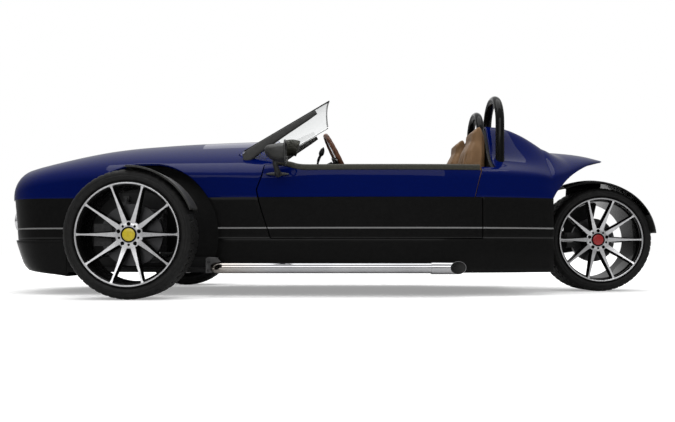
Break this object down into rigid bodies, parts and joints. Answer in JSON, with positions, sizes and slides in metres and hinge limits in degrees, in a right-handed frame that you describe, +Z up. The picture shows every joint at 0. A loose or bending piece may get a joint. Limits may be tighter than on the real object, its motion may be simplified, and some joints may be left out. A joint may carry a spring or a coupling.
{
  "type": "three-wheeled open two-seat car",
  "caption": "Open two-seat car on three wheels, two steered in front and one behind, with hinged doors, raked windscreen, roll hoops and side exhausts.",
  "frame": {"origin": "on the ground under the middle of the overall box", "axes": "+X to the rear, +Y to the car's right, +Z up"},
  "size_m": [3.7653, 1.748, 1.1249],
  "materials": {
    "blue_paint": "gloss",
    "black_body": "satin",
    "black_trim": "satin",
    "grille_mesh": "matte",
    "lamp_glass": "clear",
    "lamp_red": "gloss",
    "clear_glass": "clear",
    "leather": "satin",
    "wheel_leather": "satin",
    "frame_steel": "satin",
    "black_tube": "gloss",
    "chrome": "polished",
    "cast_metal": "rough",
    "dark_metal": "satin",
    "machined_rim": "machined",
    "disc_steel": "ground",
    "tyre": "matte"
  },
  "bodies": {
    "root": {"bonnet": "blue_paint", "lower_body": "black_body", "nose_grille": "grille_mesh", "front_lip": "black_body", "head_lamps": "lamp_glass", "windscreen_frame": "black_trim", "windscreen": "clear_glass", "dashboard": "black_trim", "steering_column": "black_trim", "seat_left": "leather", "seat_right": "leather", "chassis": "frame_steel", "cabin_bulkhead": "frame_steel", "roll_hoops": "black_tube", "tail_deck": "blue_paint", "tail_lamps": "lamp_red", "exhaust_pipes": "chrome", "engine_block": "cast_metal", "wishbones": "dark_metal", "dampers": "dark_metal", "drive_shafts": "cast_metal", "swing_arm": "dark_metal", "rear_caliper": "dark_metal", "rear_fender": "black_body"},
    "steering_wheel": {"steering_wheel": "wheel_leather"},
    "rack": {"tie_rods": "disc_steel"},
    "left_knuckle": {"knuckle_left": "cast_metal", "front_caliper_left": "dark_metal", "front_fender_left": "black_trim"},
    "right_knuckle": {"knuckle_right": "cast_metal", "front_caliper_right": "dark_metal", "front_fender_right": "black_trim"},
    "left_wheel": {"front_disc_left": "disc_steel", "front_rim_left": "machined_rim", "front_tyre_left": "tyre"},
    "right_wheel": {"front_disc_right": "disc_steel", "front_rim_right": "machined_rim", "front_tyre_right": "tyre"},
    "rear_wheel": {"rear_disc": "disc_steel", "rear_rim": "machined_rim", "rear_tyre": "tyre"},
    "left_door": {"door_left": "blue_paint", "mirror_left": "black_trim"},
    "right_door": {"door_right": "blue_paint", "mirror_right": "black_trim"}
  },
  "joints": [
    {"name": "steer_left", "type": "hinge", "parent": "root", "child": "left_knuckle", "pos_m": [-1.04278, -0.69, 0.32], "axis": [0, 0, 1], "range_deg": [-30, 30]},
    {"name": "steer_right", "type": "hinge", "parent": "root", "child": "right_knuckle", "pos_m": [-1.04278, 0.69, 0.32], "axis": [0, 0, 1], "range_deg": [-30, 30]},
    {"name": "rack_slide", "type": "slide", "parent": "root", "child": "rack", "axis": [0, 1, 0], "range_m": [-0.061, 0.061]},
    {"name": "steering_wheel_turn", "type": "hinge", "parent": "root", "child": "steering_wheel", "pos_m": [0.00222, -0.24, 0.753], "axis": [0.8942, 0, 0.4478], "range_deg": [-425, 425]},
    {"name": "front_left_spin", "type": "hinge", "parent": "left_knuckle", "child": "left_wheel", "pos_m": [-1.04278, -0.7615, 0.32], "axis": [0, 1, 0], "continuous": true},
    {"name": "front_right_spin", "type": "hinge", "parent": "right_knuckle", "child": "right_wheel", "pos_m": [-1.04278, 0.7615, 0.32], "axis": [0, 1, 0], "continuous": true},
    {"name": "rear_spin", "type": "hinge", "parent": "root", "child": "rear_wheel", "pos_m": [1.55722, 0, 0.306], "axis": [0, 1, 0], "continuous": true},
    {"name": "left_door_hinge", "type": "hinge", "parent": "root", "child": "left_door", "pos_m": [-0.33978, -0.54859, 0.5], "axis": [0, 0, -1], "range_deg": [0, 65]},
    {"name": "right_door_hinge", "type": "hinge", "parent": "root", "child": "right_door", "pos_m": [-0.33978, 0.54859, 0.5], "axis": [0, 0, 1], "range_deg": [0, 65]}
  ],
  "couplings": [
    {"joint": "steer_right", "follows": "steer_left", "ratio": 1},
    {"joint": "rack_slide", "follows": "steer_left", "m_per_rad": 0.1146},
    {"joint": "steering_wheel_turn", "follows": "steer_left", "ratio": 14}
  ]
}
